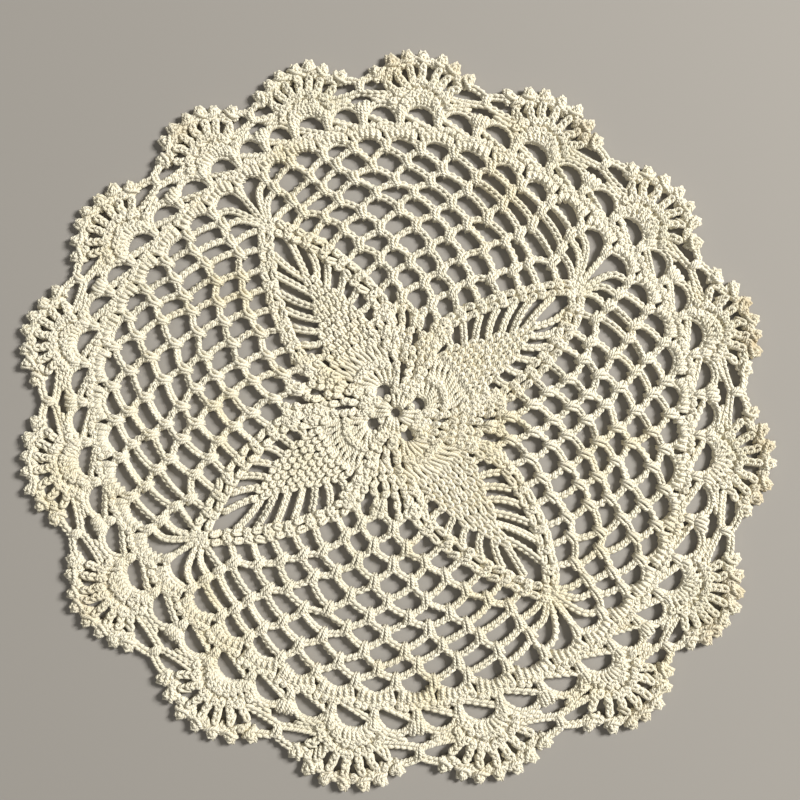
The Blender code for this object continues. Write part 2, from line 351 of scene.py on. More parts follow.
def from_axis(axis, along, across):
    """The chart's radius and quarter of a point beside an axis, such as a leaf's: the length
    and the angle of its two distances."""
    along = np.asarray(along, float)
    across = np.asarray(across, float)
    return np.hypot(along, across), axis + np.arctan2(across, along) / QUARTER_TURN


def beside(axis, along, across):
    """x and y of a point given along and across an axis."""
    return place(*from_axis(axis, along, across))


def knot_top(round_number):
    """The radius at which a round's arches leave their knots: a stitch's height over the
    arches below."""
    return ARCH_TOPS[max(round_number - 1, 0)] + STITCH_HEIGHT


def leaf_half_quarter(round_number):
    """How far a leaf reaches beside a net round, as a part of a quarter: the angle whose
    sine is its half width over the round's radius."""
    if round_number >= len(LEAF_ROWS):
        return 0.0
    across = LEAF_ROWS[round_number][LEAF_COLUMNS.index("band")] + BAND_HALF / 2
    return math.asin(across / knot_top(round_number)) / QUARTER_TURN


def net_knots(round_number):
    """Where a net round's knots stand, as parts of a quarter, evenly between two leaves."""
    leaf = leaf_half_quarter(round_number)
    return np.linspace(leaf, 1.0 - leaf, round_number + 2)


def cord_ends(row, side):
    """Where a leaf's chain cord starts on the solid and ends at the side band, along and
    across the axis. side is 1 on the left, looking out from the ring, and -1 on the right."""
    cells = dict(zip(LEAF_COLUMNS, LEAF_ROWS[row]))
    name = "left" if side > 0 else "right"
    return np.array([
        [cells[name + "_along"], side * cells[name + "_across"]],
        [cells["end_along"], side * cells[name + "_end"]],
    ])


# ---------------------------------------------------------------- lines and thread
HAND = np.random.default_rng(20)    # the unevenness of hand work, the same each time


def uneven(shape, amount):
    """Small differences as a hand leaves them, most of them within the amount."""
    return HAND.normal(0.0, 0.5 * amount, shape).clip(-amount, amount)


def smooth_line(corners, count):
    """count points on a Catmull-Rom curve through the corners, evenly spread between them.
    Past each end the line goes straight on."""
    corners = np.asarray(corners, float)
    first = 2 * corners[..., :1, :] - corners[..., 1:2, :]
    last = 2 * corners[..., -1:, :] - corners[..., -2:-1, :]
    held = np.concatenate([first, corners, last], axis=-2)
    position = np.linspace(0.0, corners.shape[-2] - 1, count)
    start = np.minimum(position.astype(int), corners.shape[-2] - 2)
    part = (position - start)[:, None]
    return between(*(held[..., start + step, :] for step in range(4)), part)


def lengths(lines):
    """The length of each line."""
    return np.linalg.norm(np.diff(lines, axis=1), axis=2).sum(axis=1)


def walk(lines, shares):
    """Points and headings at the given shares of each line's length, straight between its
    points. Shares under 0 and over 1 go straight on past its ends."""
    steps = np.linalg.norm(np.diff(lines, axis=1), axis=2)
    gone = np.concatenate([np.zeros((len(lines), 1)), np.cumsum(steps, axis=1)], axis=1)
    gone = gone / gone[:, -1:]
    shares = np.broadcast_to(shares, (len(lines), np.shape(shares)[-1]))
    segment = (gone[:, None, :] <= shares[:, :, None]).sum(axis=2) - 1
    segment = np.clip(segment, 0, lines.shape[1] - 2)
    rows = np.arange(len(lines))[:, None]
    start, end = gone[rows, segment], gone[rows, segment + 1]
    part = ((shares - start) / (end - start))[..., None]
    here, after = lines[rows, segment], lines[rows, segment + 1]
    return here + part * (after - here), unit(after - here)


def unit(vectors):
    """The vectors at length 1."""
    return vectors / np.maximum(np.linalg.norm(vectors, axis=-1, keepdims=True), 1e-9)


def left_of(headings):
    """The headings turned a quarter turn to the left, in the plane."""
    return np.stack([-headings[..., 1], headings[..., 0]], axis=-1)


def flat_path(points, heights):
    """Paths in space from points in the plane and heights over the lace's middle. The
    thread rests on the table where it would be lower."""
    return np.concatenate([points, np.maximum(MIDDLE + heights, THREAD / 2)[..., None]], axis=-1)


def chain(lines, stitches, roll=CHAIN_ROLL, size=1.0):
    """A chain of so many stitches along each line: every stitch goes up one side, round its
    head, back down the other side and under the next one, and the next rises through it.
    Each chain lies rolled by its own angle, which changes evenly along it. The size widens
    it across."""
    corners = np.array([
        (step + along, across, height)
        for step in range(stitches)
        for along, across, height in CHAIN_STITCH
    ])
    path = smooth_line(corners, stitches * CHAIN_RINGS)
    share = (path[:, 0] - CHAIN_START) / stitches
    points, headings = walk(lines, share)
    angle = uneven((len(lines), 1), roll) + uneven((len(lines), 1), roll) * (2.0 * share - 1.0)
    across = size * (path[:, 1] * np.cos(angle) - path[:, 2] * np.sin(angle))
    height = path[:, 1] * np.sin(angle) + path[:, 2] * np.cos(angle)
    return flat_path(points + left_of(headings) * across[..., None], height)


def chains(lines, roll=CHAIN_ROLL, size=1.0):
    """Chains along lines of different lengths, each with the whole number of stitches that
    fits it best."""
    counts = np.maximum(np.rint(lengths(lines) / CHAIN_PITCH).astype(int), 1)
    return [chain(lines[counts == count], count, roll, size) for count in np.unique(counts)]


def leaned(ups, turn):
    """The ways up at length 1, each leaned a little by the hand."""
    lean = uneven((len(ups), 1), turn)
    return unit(ups) * np.cos(lean) + left_of(unit(ups)) * np.sin(lean)


def stitches_at(shape, rings, feet, ups, size=1.0, turn=0.10, either_way=False, raised=0.0):
    """One stitch's path set at every foot: across and up follow the plane, height the
    table's normal. The hand leans each one a little and works it larger or smaller; one
    that may lie either way is mirrored by chance."""
    path = smooth_line(shape, rings)
    ups = leaned(ups, turn)
    acrosses = -left_of(ups)
    if either_way:
        acrosses = acrosses * HAND.choice((-1.0, 1.0), (len(feet), 1))
    sizes = (size * (1.0 + uneven(len(feet), 0.10)))[:, None, None]
    points = feet[:, None, :] + sizes * (
        path[:, 0][:, None] * acrosses[:, None, :] + path[:, 1][:, None] * ups[:, None, :]
    )
    lift = raised + uneven((len(feet), 1), 0.15)
    return flat_path(points, path[:, 2] + lift)


def curls(feet, ups, **how):
    """Curls set at the feet, each of them either way round."""
    return stitches_at(CURL, CURL_RINGS, feet, ups, either_way=True, **how)


def scales(feet, ups, **how):
    """Scales set at the feet, each of them either way round."""
    return stitches_at(SCALE, SCALE_RINGS, feet, ups, either_way=True, **how)


def posts(feet, heads, foot_half=0.40, head_half=0.70, turns=1.0, hook=0.0, loose=0.9):
    """Long stitches from feet to heads: the thread runs up, round the head and back down,
    and its two runs wind round each other. Each run is a cosine aside and a sine in height,
    of the given number of turns, widening from foot_half to head_half; loose is how far
    it may start turned aside. A hooked stitch climbs over the chain that it is worked on:
    hook is how high."""
    half = POST_RINGS // 2
    up = np.linspace(0.0, 1.0, half)
    share = np.concatenate([up, [1.0], up[::-1]])
    run = np.concatenate([np.ones(half), [0.0], -np.ones(half)])
    wide = foot_half + (head_half - foot_half) * smooth_step(0.0, 0.7, share)
    wound = 2.0 * math.pi * turns * (share - 1.0) + uneven((len(feet), 1), loose)
    hand = 1.0 + uneven((len(feet), 1), 0.15)
    aside = hand * run * wide * np.cos(wound)
    rise = POST_RISE * run * np.sin(wound)
    feet, heads = np.asarray(feet), np.asarray(heads)
    ways = heads - feet
    beyond = 0.5 * THREAD * (1.0 - np.abs(run))
    points = (
        feet[:, None, :]
        + share[:, None] * ways[:, None, :]
        + beyond[:, None] * unit(ways)[:, None, :]
        - aside[..., None] * left_of(unit(ways))[:, None, :]
    )
    over = hook * smooth_step(0.0, 0.15, share) * (1.0 - smooth_step(0.25, 0.8, share))
    heights = rise + over - POST_SINK * (1.0 - smooth_step(0.0, 0.2, share))
    return flat_path(points, heights + LIFT + uneven((len(feet), 1), 0.2))


def tube(paths, radius):
    """Thread as a tube: a round profile of SIDES corners carried along each path without
    twisting, with its ends closed. Gives corners, quads, ends and the corners' place along
    and around the thread."""
    copies, rings = paths.shape[:2]
    heading = unit(np.gradient(paths, axis=1))
    side = np.empty_like(paths)
    side[:, 0] = unit(np.cross(heading[:, 0], NO_HEADING))
    for ring in range(1, rings):
        carried = side[:, ring - 1]
        tilt = (carried * heading[:, ring]).sum(axis=1, keepdims=True)
        side[:, ring] = unit(carried - tilt * heading[:, ring])
    up = np.cross(heading, side)
    turns = np.arange(SIDES) / SIDES
    angles = 2.0 * math.pi * turns
    ring_points = (
        np.cos(angles)[:, None] * side[:, :, None, :] + np.sin(angles)[:, None] * up[:, :, None, :]
    )
    corners = paths[:, :, None, :] + radius * ring_points
    along = np.concatenate(
        [np.zeros((copies, 1)), np.cumsum(np.linalg.norm(np.diff(paths, axis=1), axis=2), axis=1)],
        axis=1,
    )
    index = np.arange(copies * rings * SIDES).reshape(copies, rings, SIDES)
    after = np.roll(index, -1, axis=2)
    quads = np.stack([index[:, :-1], after[:, :-1], after[:, 1:], index[:, 1:]], axis=-1)
    ends = np.concatenate([index[:, 0, ::-1], index[:, -1]])
    around_it = np.broadcast_to(turns, (copies, rings, SIDES))
    along_it = np.broadcast_to(along[:, :, None], (copies, rings, SIDES))
    places = np.stack([along_it, around_it], axis=-1).reshape(-1, 2)
    return corners.reshape(-1, 3), quads.reshape(-1, 4), ends, places


def thread_piece(name, groups, material):
    """One piece of worked thread from groups of paths, joined in one mesh, with a UV map
    that runs in millimetres along the thread and in turns around it, and its stains as
    the attribute age."""
    corners, quads, ends, places = [], [], [], []
    total = 0
    for paths in groups:
        points, faces, caps, along = tube(paths, THREAD / 2)
        corners.append(points)
        quads.append(faces + total)
        ends.append(caps + total)
        places.append(along)
        total += len(points)
    corners = np.concatenate(corners) * MM
    quads, ends, places = np.concatenate(quads), np.concatenate(ends), np.concatenate(places)
    loops = np.concatenate([quads.ravel(), ends.ravel()])
    sizes = np.concatenate([np.full(len(quads), 4), np.full(len(ends), SIDES)])
    starts = np.concatenate([[0], np.cumsum(sizes)[:-1]])
    mesh = bpy.data.meshes.new(name)
    mesh.vertices.add(len(corners))
    mesh.vertices.foreach_set("co", corners.astype(np.float32).ravel())
    mesh.loops.add(len(loops))
    mesh.loops.foreach_set("vertex_index", loops.astype(np.int32))
    mesh.polygons.add(len(sizes))
    mesh.polygons.foreach_set("loop_start", starts.astype(np.int32))
    mesh.polygons.foreach_set("use_smooth", np.ones(len(sizes), bool))
    mesh.update(calc_edges=True)
    uv = places[loops]
    turns = uv[: quads.size].reshape(-1, 4, 2)[:, :, 1]
    turns[:, 1:3] += turns[:, 1:3] < turns[:, :1]
    layer = mesh.uv_layers.new(name="thread")
    layer.data.foreach_set("uv", uv.astype(np.float32).ravel())
    stain = mesh.attributes.new("age", "FLOAT", "POINT")
    stain.data.foreach_set("value", age(corners[:, :2] / MM).astype(np.float32))
    mesh.materials.append(material)
    thing = bpy.data.objects.new(name, mesh)
    bpy.context.scene.collection.objects.link(thing)
    return thing


# ---------------------------------------------------------------- rounds
def line_between(starts, ends, bow=0.0):
    """Straight lines from starts to ends, bowed to the left by the given distance as an
    even arch: the distance times 4 s (1 - s)."""
    share = np.linspace(0.0, 1.0, LINE_POINTS)
    ways = ends - starts
    aside = left_of(unit(ways))[:, None, :] * (4.0 * share * (1.0 - share))[:, None]
    return starts[:, None, :] + share[:, None] * ways[:, None, :] + bow * aside


def arch_lines(starts, crests, ends, slack=ARCH_SLACK):
    """Lines of arches from starts over crests to ends, each of them points of the chart as
    radius and quarter: a smooth curve whose legs stand out from straight by the slack, a
    share of each leg's rise."""
    legs = []
    for foot in (starts, ends):
        leg = 0.5 * (foot + crests)
        leg[:, 0] += slack * (crests[:, 0] - foot[:, 0])
        legs.append(leg)
    corners = np.stack([starts, legs[0], crests, legs[1], ends], axis=1)
    line = smooth_line(corners, LINE_POINTS)
    return place(line[..., 0], line[..., 1])


def on_chart(radius, quarter):
    """Points of the chart, from radii and quarters."""
    return np.stack(np.broadcast_arrays(np.asarray(radius, float), quarter), axis=-1)


def outwards(radius, quarter):
    """The way out from the ring at points of the chart."""
    return place(np.asarray(radius) + AHEAD, quarter) - place(radius, quarter)


def net(first, last):
    """The rounds of chain arches from the first to the last, with the knot that stands on
    each arch below. Past the leaves three rounds begin and end on the joint of a leaf's
    bands."""
    groups = []
    strays = [np.zeros((len(net_knots(first)) - 2, 2))] * QUARTERS
    for number in range(first, last + 1):
        knots = net_knots(number)
        slack = np.full(len(knots) - 1, ARCH_SLACK)
        from_joint = len(LEAF_ROWS) <= number < LAST_NET_ROUND
        if from_joint:
            slack[[0, -1]] = JOINT_SLACK
        if number < LAST_NET_ROUND:
            crest = net_knots(number + 1)[1:-1]
        else:
            crest = (knots[:-1] + knots[1:]) / 2.0
        stray = STRAY * np.array([1.0, 1.0 / (ARCH_TOPS[number] * QUARTER_TURN)])
        for quarter in range(QUARTERS):
            feet = on_chart(knot_top(number) - TUCK, quarter + knots)
            if from_joint:
                feet[[0, -1], 0] = LEAF_JOINTS[quarter], LEAF_JOINTS[(quarter + 1) % QUARTERS]
            feet[1:-1] += strays[quarter]
            strays[quarter] = uneven((len(crest), 2), 1.0) * stray
            tops = on_chart(ARCH_TOPS[number], quarter + crest) + strays[quarter]
            groups += chains(arch_lines(feet[:-1], tops, feet[1:], slack), size=NET_CHAIN_SIZE)
            standing = feet[1:-1] if number < LAST_NET_ROUND else feet[:-1]
            below = standing[:, 0] - knot_top(number) + TUCK + ARCH_TOPS[number - 1]
            groups.append(knots_at(below, standing[:, 1], NET_KNOT_SIZE))
    return groups


def axis_chains():
    """The chain that runs straight out from each joint to the last net round."""
    axis = np.arange(QUARTERS)
    starts = place(np.array(LEAF_JOINTS), axis)
    ends = place(np.full(QUARTERS, NET_EDGE + AXIS_CHAIN_PAST), axis)
    return chains(line_between(starts, ends))


def knots_at(radius, quarter, size=1.0):
    """Knots that stand on the arch below, each hooked round it."""
    return stitches_at(KNOT, KNOT_RINGS, place(radius, quarter), outwards(radius, quarter), size)


def centre():
    """The ring of long stitches, and the close rounds between the leaves, where slits stay
    open between stitches that part."""
    groups = []
    feet_at = (np.arange(RING_STITCHES) + 0.5) / RING_STITCHES
    heads_at = RING_HEADS_FROM + np.linspace(0.0, RING_HEADS_OVER, RING_STITCHES)
    for quarter in range(QUARTERS):
        groups.append(posts(
            place(np.full(RING_STITCHES, RING_HOLE), quarter + feet_at),
            place(RING_HEADS + uneven(RING_STITCHES, 0.7), quarter + heads_at),
            foot_half=0.40, head_half=0.65, turns=0.35, hook=0.8,
        ))
        curl_at = quarter + np.array(CURL_QUARTERS)
        curl_reach = np.array(CURL_RADII) + uneven(len(CURL_RADII), 0.5)
        groups.append(curls(
            place(curl_reach, curl_at), outwards(curl_reach, curl_at), turn=1.4, size=0.9,
        ))
        for foot, head, across in CENTRE_ROWS:
            count = len(across)
            turn = np.array(across) / (0.5 * (foot + head)) / QUARTER_TURN
            spots = quarter + 0.5 - turn + uneven(count, 0.3 / head)
            head = head + uneven(count, 0.7)
            far_spots = spots + uneven(count, 0.4 / foot)
            groups.append(posts(
                place(foot + uneven(count, 0.5), spots), place(head, far_spots), foot_half=0.5,
            ))
            ups = outwards(head, far_spots)
            tops = place(head - CURL_UNDER, far_spots)
            groups.append(curls(tops, ups, turn=1.0))
            middles = 0.5 * (place(foot, spots) + tops) + uneven((count, 2), 0.5)
            groups.append(scales(middles, ups, size=0.95, turn=1.0, raised=0.2))
    return groups


def leaf_edge(side, along):
    """The edge of a leaf's solid on one side, across the axis, at a place along it:
    straight between the rows of the table."""
    name = "left" if side > 0 else "right"
    return np.interp(
        along,
        table_column(LEAF_ROWS, LEAF_COLUMNS, name + "_along"),
        table_column(LEAF_ROWS, LEAF_COLUMNS, name + "_across"),
    )


def leaf(axis):
    """One leaf: a shell of nine long stitches with a ridge on their heads, a row of posts,
    and close stitches to its tip, each a scale over the one before."""
    groups = []
    shell = math.radians(SHELL_DEGREES)
    angles = np.linspace(-shell, shell, SHELL_STITCHES) + uneven(SHELL_STITCHES, 0.06)
    feet_along = CHAIN_SPACE + SHELL_FEET_ALONG * np.cos(angles)
    feet = beside(axis, feet_along, SHELL_FEET_ACROSS * np.sin(angles))
    reach = SHELL_REACH - SHELL_DROOP * (angles / shell) ** 4 + uneven(SHELL_STITCHES, 0.8)
    heads = beside(axis, CHAIN_SPACE + reach * np.cos(angles), reach * np.sin(angles))
    groups.append(posts(feet, heads, foot_half=0.35, head_half=0.75, turns=0.5))
    across = np.linspace(-1.0, 1.0, RIDGE_STITCHES)
    along = RIDGE_ALONG - RIDGE_BEND * across ** 2
    ridge = beside(axis, along + uneven(RIDGE_STITCHES, 0.4), RIDGE_HALF * across)
    ahead = beside(axis, along + AHEAD, (RIDGE_HALF + RIDGE_FLARE) * across)
    groups.append(curls(ridge, ahead - ridge, turn=1.2))
    across = np.linspace(-1.0, 1.0, LEAF_POSTS)
    bend = LEAF_POST_BEND * across ** 2
    feet = beside(axis, LEAF_POST_FEET - bend + uneven(LEAF_POSTS, 0.5), LEAF_FEET_HALF * across)
    heads_along = LEAF_POST_HEADS - bend + uneven(LEAF_POSTS, 0.6)
    heads = beside(axis, heads_along, LEAF_HEADS_HALF * across + LEAF_LEAN)
    groups.append(posts(feet, heads, foot_half=0.5, head_half=0.75, turns=0.7))
    for along in np.arange(SCALES_FROM, SCALES_TO, SCALE_ROW):
        left, right = leaf_edge(1, along) - SCALE_INSET, SCALE_INSET - leaf_edge(-1, along)
        # One more scale than columns fit between, and another where 0.6 of a column is left
        count = max(int((left - right) / SCALE_COLUMN + 1.4), 1)
        middle = 0.5 * (left + right)
        spots = middle + SCALE_COLUMN * (np.arange(count) - 0.5 * (count - 1)) + uneven(count, 0.3)
        bow = ROW_BOW * (0.5 - (spots / ROW_HALF) ** 2) + uneven(count, 0.45)
        feet = beside(axis, along + bow, spots)
        ahead = beside(axis, along + bow + AHEAD, spots + SCALE_LEAN)
        groups.append(scales(feet, ahead - feet, size=1.02, turn=0.5))
    return groups


def leaf_cords(axis):
    """The chain cords on both sides of a leaf, each a little bowed."""
    groups = []
    for side in (-1, 1):
        for row in range(1, len(LEAF_ROWS)):
            start, end = cord_ends(row, side)
            reach = unit(end - start)
            first, last = (start - TUCK * reach)[None], (end + CORD_PAST * reach)[None]
            line = line_between(first, last, side * (CORD_BOW + uneven(1, 0.6)))
            points = beside(axis, *line[0].T)
            groups += chains(points[None], roll=0.5, size=CORD_SIZE)
    return groups


def worked_beside(axis, stitches, spots, ways, **how):
    """Curls or scales at spots beside an axis, given along and across it, that stand the
    given ways."""
    feet = beside(axis, *spots.T)
    return stitches(feet, beside(axis, *(spots + ways).T) - feet, **how)


def leaf_bands(axis):
    """The double bands beside a leaf: in each round two long stitches side by side, each with
    a scale halfway and a curl on its head, and one more curl between them."""
    band = table_column(LEAF_ROWS, LEAF_COLUMNS, "band")
    along = np.sqrt(np.array([knot_top(row) for row in range(len(LEAF_ROWS))]) ** 2 - band ** 2)
    along = np.concatenate([BAND_START_ALONG, along, [LEAF_JOINTS[axis] + BAND_END]])
    band = np.concatenate([BAND_START_ACROSS, band, [BAND_END]])
    groups = []
    for side in (-1, 1):
        middles = np.stack([along, side * band], axis=1)
        ways = unit(np.diff(middles, axis=0))
        aside = left_of(ways)
        for offset in (-BAND_COLUMNS[side], BAND_COLUMNS[side]):
            feet = middles[:-1] + offset * aside - BAND_FOOT_UNDER * ways + uneven(ways.shape, 0.3)
            heads = middles[1:] + offset * aside + BAND_HEAD_OVER * ways + uneven(ways.shape, 0.3)
            groups.append(posts(
                beside(axis, *feet.T), beside(axis, *heads.T),
                foot_half=0.95, head_half=1.10, turns=1.2,
            ))
            halfway = 0.5 * (feet + heads)
            groups.append(worked_beside(axis, scales, halfway, ways, size=1.1, turn=0.7, raised=0.2))
            tops = heads - BAND_CURL_UNDER * ways
            groups.append(worked_beside(axis, curls, tops, ways, size=1.05, turn=1.2))
        ways = ways[:-1]
        ties = middles[1:-1] - BAND_TIE_UNDER * ways
        groups.append(worked_beside(axis, curls, ties, ways, size=1.1, turn=1.4, raised=0.2))
    return groups


def block_round():
    """Blocks of six close stitches over each arch of the last net round, a chain that
    backs them, curls on their heads and the chained edge, which climbs from one knot's
    foot to the next one's side, as a power of the part gone."""
    groups = []
    count = QUARTERS * BORDER_ARCHES
    middles = (np.arange(count) + 0.5) / BORDER_ARCHES
    for spot in np.linspace(-1.0, 1.0, BLOCK_STITCHES):
        feet_at = middles + BLOCK_FEET_SHARE * spot / BORDER_ARCHES
        feet = place(BLOCK_FEET - BLOCK_DROP * spot ** 2 + uneven(count, 0.3), feet_at)
        heads_at = middles + BLOCK_HEADS_SHARE * spot / BORDER_ARCHES
        head_drop = BLOCK_HEADS_DROP * spot ** 2 + BLOCK_SLANT * spot
        heads = place(BLOCK_HEADS - head_drop + uneven(count, 0.5), heads_at)
        groups.append(posts(
            feet, heads, foot_half=0.58, head_half=0.66, turns=0.15, hook=1.0, loose=0.35,
        ))
        tops = place(BLOCK_CURLS - head_drop + uneven(count, 0.6), heads_at)
        groups.append(curls(tops, heads - feet, size=0.85, turn=1.8))
    share = np.linspace(0.0, 1.0, LINE_POINTS)
    backing = middles[:, None] + BACKING_SHARE * (share - 0.5) / BORDER_ARCHES
    radii = BACKING - BACKING_DROP * (2.0 * share - 1.0) ** 2
    groups.append(chain(place(radii, backing), BACKING_CHAINS))
    edge = (np.arange(count)[:, None] - 0.5 + share) / BORDER_ARCHES
    radii = EDGE_FOOT + EDGE_RISE * share ** EDGE_CURVE
    groups.append(chain(place(radii, edge), EDGE_CHAINS, roll=1.2))
    return groups


def arch_round():
    """The round of plain arches, and the knots that they stand on."""
    count = QUARTERS * BORDER_ARCHES
    knots = (np.arange(count) + 0.5) / BORDER_ARCHES
    step = 1.0 / BORDER_ARCHES
    starts = on_chart(PLAIN_ARCH_FOOT, knots - step)
    crests = on_chart(PLAIN_ARCH_CREST, knots - step / 2)
    ends = on_chart(PLAIN_ARCH_FOOT, knots)
    groups = chains(arch_lines(starts, crests, ends, PLAIN_ARCH_SLACK), size=1.15)
    groups += [knots_at(np.full(count, radius), knots) for radius in PLAIN_ARCH_KNOTS]
    return groups


def in_fan(fan, reach, degrees):
    """x and y of a point of a fan, given by its reach from the fan's centre and its degrees
    from the fan's axis."""
    angle = np.radians(degrees)
    return beside(fan / FANS_PER_QUARTER, FAN_CENTRE + reach * np.cos(angle), reach * np.sin(angle))


def fan_of(fan):
    """One fan: close stitches over its arch with rows of curls on them, and a row of long
    stitches with scales on them."""
    groups = []
    across = np.linspace(-1.0, 1.0, FAN_STITCHES)
    feet_along = FAN_FEET - FAN_FEET_BEND * across ** 2 + uneven(FAN_STITCHES, 0.3)
    feet = beside(fan / FANS_PER_QUARTER, feet_along, FAN_FEET_HALF * across)
    heads_reach = FAN_HEADS + FAN_HEADS_WIDEN * across ** 2 + uneven(FAN_STITCHES, 0.6)
    heads = in_fan(fan, heads_reach, FAN_HEADS_DEGREES * across)
    groups.append(posts(feet, heads, foot_half=0.52, head_half=0.8, turns=0.5, hook=0.9, loose=0.5))
    for reach, count in CURL_ROWS:
        across = np.linspace(-1.0, 1.0, count) + uneven(count, 0.05)
        curl_reach = reach * (1.0 + CURLS_WIDEN * across ** 2) + uneven(count, 0.7)
        tops = in_fan(fan, curl_reach, CURL_DEGREES * across)
        ahead = in_fan(fan, 1.2 * reach + AHEAD, CURL_DEGREES * across)
        groups.append(curls(tops, ahead - tops, size=1.05, turn=1.4, raised=0.4))
    loops = FANS[fan][FAN_COLUMNS.index("loops")]
    across = np.linspace(-1.0, 1.0, loops) + uneven(loops, 0.04)
    feet = in_fan(fan, np.full(loops, LONG_FEET), LONG_FEET_DEGREES * across)
    heads = in_fan(fan, LONG_HEADS + uneven(loops, 0.5), LONG_HEADS_DEGREES * across)
    groups.append(posts(feet, heads, foot_half=0.90, head_half=1.00, turns=0.9))
    for reach, size in LONG_SCALES:
        tops = in_fan(fan, reach + uneven(loops, 0.4), LONG_SCALES_DEGREES * across)
        ahead = in_fan(fan, np.full(loops, reach + AHEAD), LONG_SCALES_DEGREES * across)
        groups.append(scales(tops, ahead - tops, size=size, turn=0.7, raised=0.3))
    return groups + fan_points(fan, across)


def fan_points(fan, across):
    """The chains between a fan's long stitches, which stand at the given shares of its half
    width, and over each long stitch a point: a chain folded in a loop, filled with a scale
    and wrapped at its foot."""
    loops = len(across)
    between_tops = LONG_HEADS_DEGREES * (across[:-1] + across[1:]) / 2.0
    half_way = LONG_HEADS_DEGREES / (loops - 1)
    starts = in_fan(fan, LOOP_REACH, between_tops - half_way)
    ends = in_fan(fan, LOOP_REACH, between_tops + half_way)
    groups = chains(line_between(starts, ends, -0.2), size=1.15)
    valleys = in_fan(fan, VALLEY_REACH + uneven(loops - 1, 0.6), between_tops)
    ahead = in_fan(fan, VALLEY_AHEAD, between_tops)
    groups.append(curls(valleys, ahead - valleys, turn=1.4))
    turns = FAN_SPREAD * across
    tip_reach = FAN_REACH * (1.0 + FAN_WIDENS * across ** 2) + uneven(loops, 0.6)
    bases = in_fan(fan, tip_reach - POINT_HEIGHT, turns)
    tips = in_fan(fan, tip_reach, turns)
    shape = smooth_line(POINT_FOLD, LINE_POINTS)
    ups = leaned(tips - bases, 0.22)
    sizes = (1.0 + uneven(loops, 0.12))[:, None, None]
    aside = shape[:, 0][:, None] * left_of(ups)[:, None, :]
    folds = bases[:, None, :] + sizes * (shape[:, 1][:, None] * ups[:, None, :] - aside)
    groups.append(chain(folds, POINT_STITCHES, roll=0.5))
    groups.append(scales(bases + POINT_FILLED * ups, ups, turn=0.5, raised=0.3))
    groups.append(stitches_at(
        POINT_WRAP, POINT_WRAP_RINGS, bases + POINT_WRAPPED * ups, ups, turn=0.5, either_way=True,
    ))
    return groups


def fan_links(fan):
    """Between a fan and the next: three chains from the side of each, and the knots where
    they meet."""
    groups = []
    middle = (fan + 0.5) / FANS_PER_QUARTER
    for edge_fan, side in ((fan, 1.0), ((fan + 1) % len(FANS), -1.0)):
        for row in LINKS:
            cells = dict(zip(LINK_COLUMNS, row))
            start = in_fan(edge_fan, cells["reach"], [side * cells["degrees"]])
            end = place([cells["end"]], [middle - side * cells["aside"]])
            line = line_between(start, end, side * cells["bow"])
            groups += chains(line, roll=0.6, size=cells["size"])
    groups.append(knots_at(np.array(LINK_KNOTS), middle + np.array(LINK_KNOTS_ASIDE)))
    return groups


# ---------------------------------------------------------------- finishes
PATCH = 26.3                    # width of the cotton's warmer and paler patches
FLECK = 3.85                    # width of the flecks in a stain
PLY_DEPTH = 0.25                # how deep the groove between two plies is
CREAMS = (                      # position in the patches' pattern, and colour
    (0.28, "#DCD4B9"),
    (0.50, "#E8E0C8"),
    (0.74, "#DDD2B1"),
)
STAIN_TAN = "#A58A52"
STAIN_COLUMNS = ("degrees", "reach", "spread", "depth")     # where the cotton has turned tan
STAINS = (
    (11.0, 136.0, 6.0, 1.00),
    (17.0, 137.0, 5.0, 1.15),
    (347.0, 139.0, 7.0, 0.85),
    (355.5, 136.0, 6.0, 0.75),
    (1.0, 135.0, 4.0, 0.65),
    (333.0, 142.0, 7.0, 0.80),
    (325.0, 140.0, 6.0, 0.70),
    (309.0, 141.0, 6.0, 0.45),
    (79.0, 134.0, 6.0, 0.65),
    (90.0, 133.0, 6.0, 0.60),
    (56.0, 127.5, 5.0, 0.75),
    (127.0, 134.0, 6.0, 0.40),
    (212.0, 133.0, 7.0, 0.35),
    (262.0, 134.0, 7.0, 0.35),
)


def age(points):
    """How far the cotton has turned tan at points in the plane, in millimetres: the sum of
    the stains' depths, each of them times exp(-d^2 / spread^2), d from the stain's middle."""
    total = np.zeros(len(points))
    for row in STAINS:
        cells = dict(zip(STAIN_COLUMNS, row))
        angle = math.radians(cells["degrees"])
        way = np.array([math.cos(angle), math.sin(angle)])
        middle = np.array([RING_X, RING_Y]) + cells["reach"] * way
        away = np.linalg.norm(points - middle, axis=1) / cells["spread"]
        total += cells["depth"] * np.exp(-away ** 2)
    return total


def linear(hex_colour):
    """An sRGB hex colour as linear RGBA."""
    parts = [int(hex_colour[i:i + 2], 16) / 255 for i in (1, 3, 5)]
    return tuple(p / 12.92 if p <= 0.04045 else ((p + 0.055) / 1.055) ** 2.4 for p in parts) + (1.0,)


def add(material, kind, settings=None, inputs=None, **links):
    """Adds a node with its settings, its input values and its links. A link's name is the
    input's, with _ for a space, and its value is the output it comes from."""
    node = material.node_tree.nodes.new(kind)
    for name, value in (settings or {}).items():
        setattr(node, name, value)
    for name, value in (inputs or {}).items():
        node.inputs[name].default_value = value
    for name, output in links.items():
        material.node_tree.links.new(output, node.inputs[name.replace("_", " ")])
    return node


def new_material(name):
    """An empty material, and its shader."""
    material = bpy.data.materials.new(name)
    material.use_nodes = True
    return material, material.node_tree.nodes["Principled BSDF"]


